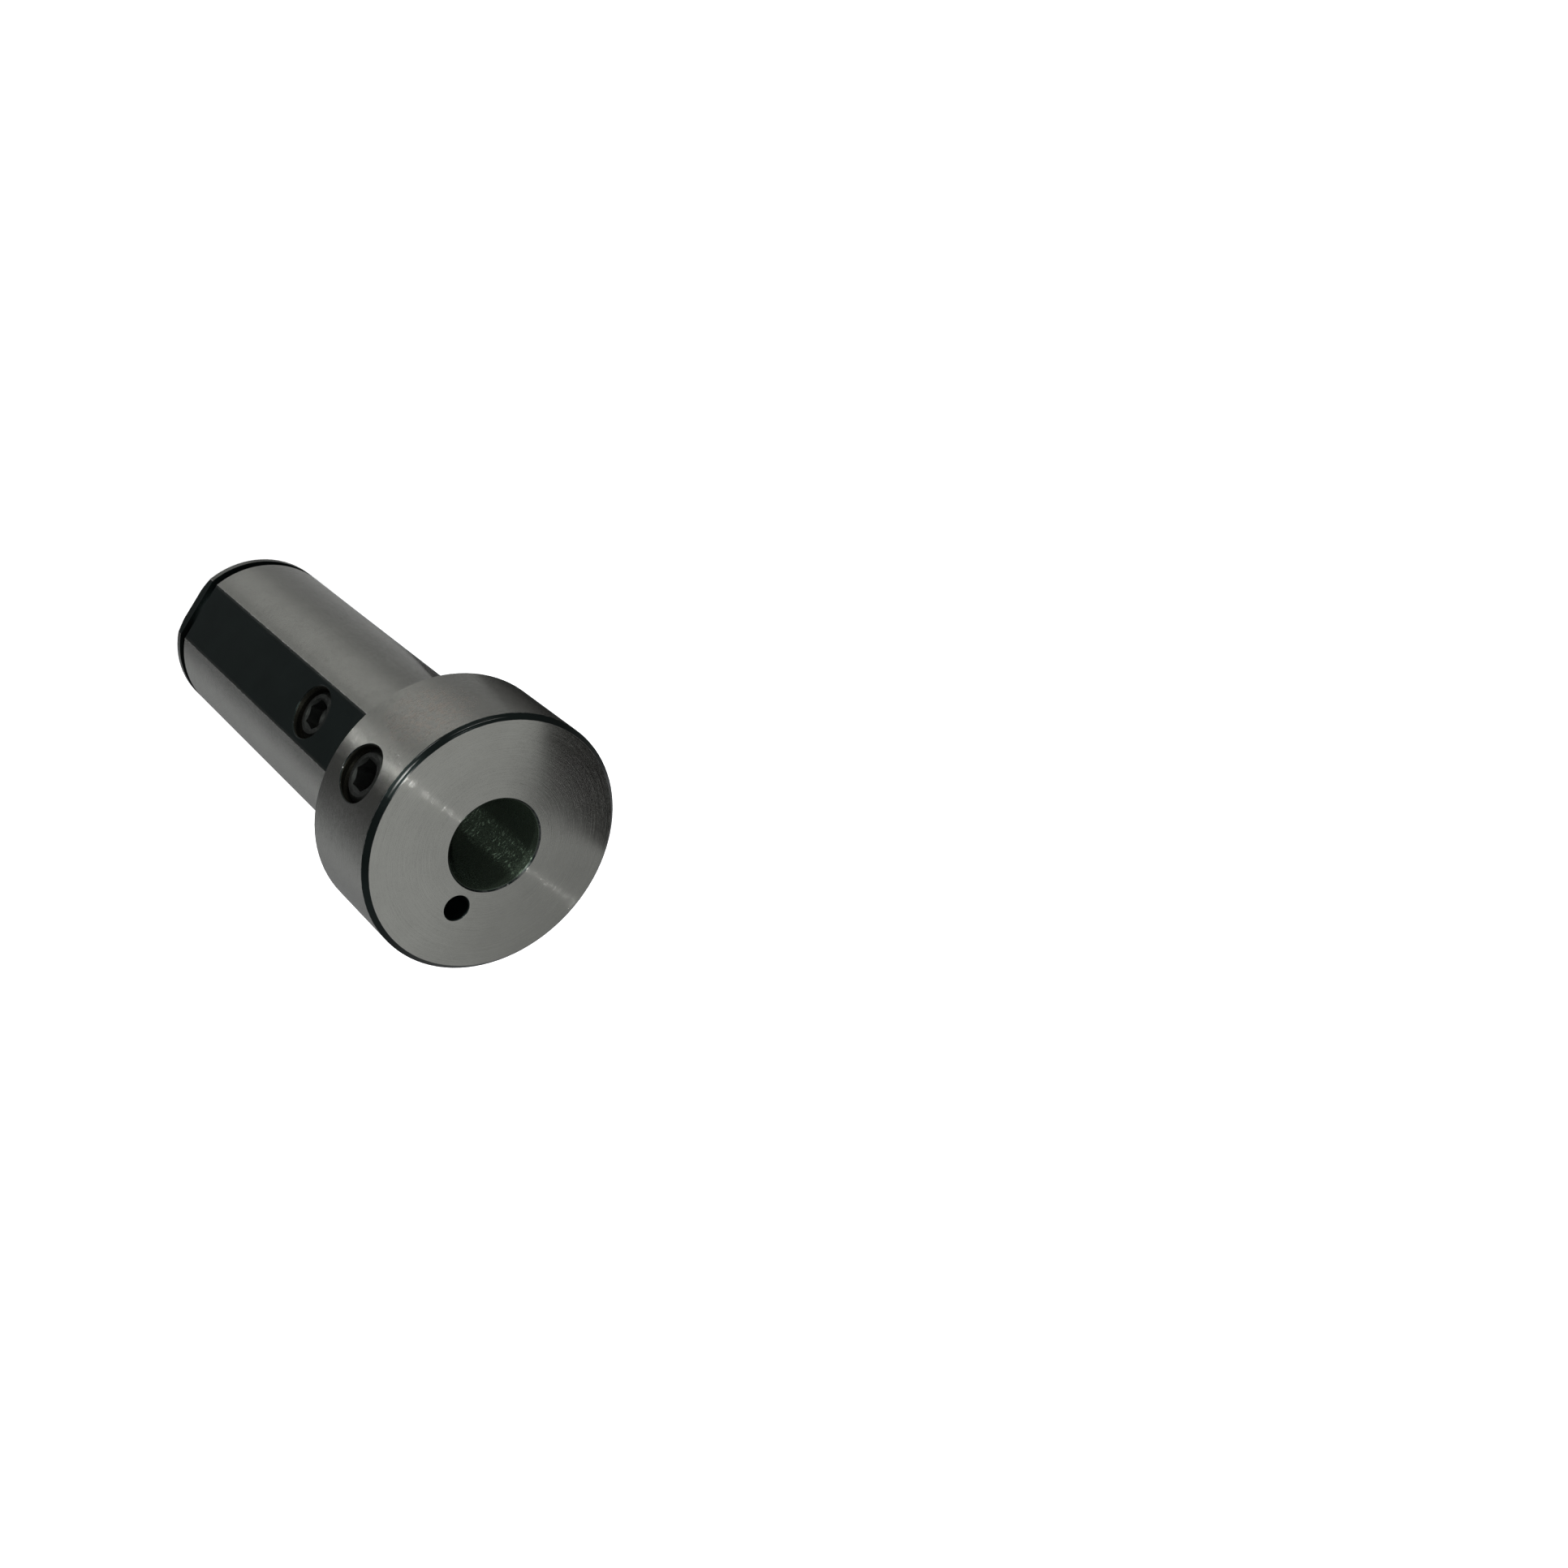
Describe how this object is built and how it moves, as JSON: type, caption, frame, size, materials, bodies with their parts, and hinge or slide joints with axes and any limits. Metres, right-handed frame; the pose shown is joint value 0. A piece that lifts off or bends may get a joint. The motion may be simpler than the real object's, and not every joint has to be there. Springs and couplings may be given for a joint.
{
  "type": "boring bar reducing sleeve",
  "caption": "Round turret sleeve with a collar, a flatted shank, a through bore for a boring bar, clamping set screws and a coolant hole in its face.",
  "frame": {"origin": "centre of the tail's end face, which the part stands on", "axes": "+Z along the bore towards the collar's front face, +X towards the clamping screws, +Y towards the coolant hole"},
  "size_m": [0.028, 0.028, 0.0615],
  "materials": {
    "ground_steel": "hardened steel, ground satin grey outside, black oxide on the flats, grooves, front chamfer, tail face and bore",
    "blackened_screw": "black oxide"
  },
  "bodies": {
    "sleeve": {"sleeve_body": "ground_steel"},
    "collar_set_screw": {"collar_screw": "blackened_screw"},
    "flat_set_screw": {"flat_screw": "blackened_screw"}
  },
  "joints": [
    {"name": "collar_screw_travel", "type": "slide", "parent": "sleeve", "child": "collar_set_screw", "axis": [-1, 0, 0], "range_m": [-0.0006, 0.0014]},
    {"name": "flat_screw_travel", "type": "slide", "parent": "sleeve", "child": "flat_set_screw", "axis": [-1, 0, 0], "range_m": [-0.00058, 0.0012]}
  ]
}
